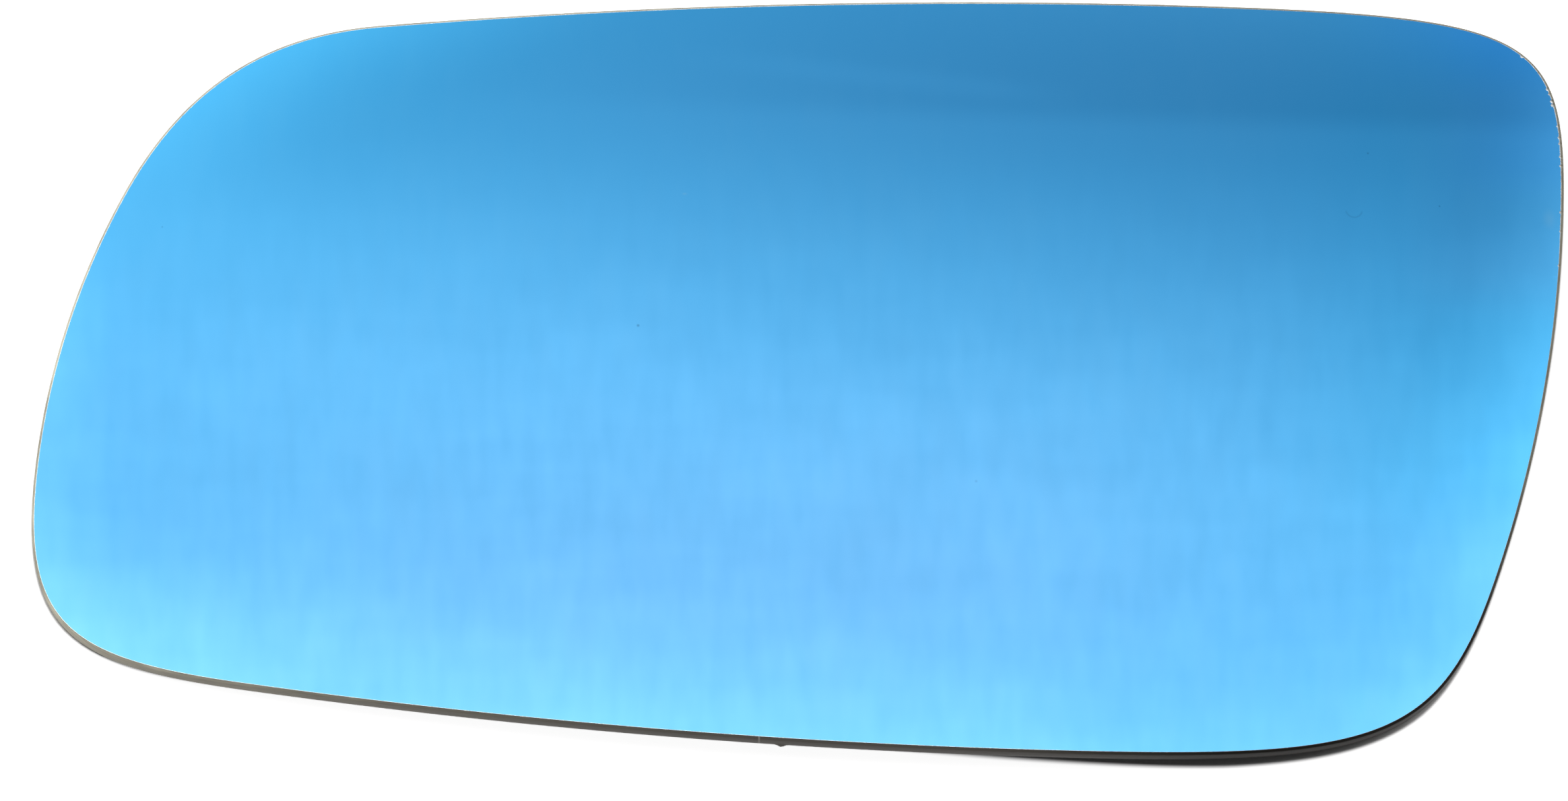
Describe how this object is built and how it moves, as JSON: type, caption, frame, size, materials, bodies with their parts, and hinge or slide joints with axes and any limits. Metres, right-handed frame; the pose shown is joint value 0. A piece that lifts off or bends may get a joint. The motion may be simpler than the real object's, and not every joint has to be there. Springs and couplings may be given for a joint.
{
  "type": "car door mirror glass",
  "caption": "Blue convex mirror glass for a car door mirror: a bent pane with crowned sides, free-form rounded corners and a ground edge, bonded in place by its back.",
  "frame": {"origin": "middle of the pane's outline in X and Y, on the surface that the pane lies on", "axes": "+X to the right along the pane's length as seen from its front, +Y towards its top edge, +Z out of the mirror face"},
  "size_m": [0.1786, 0.0933, 0.0055],
  "materials": {
    "blue_mirror": "polished glass with a blue mirror coating on its face and a ground edge"
  },
  "bodies": {
    "root": {"mirror_glass": "blue_mirror"}
  },
  "joints": []
}
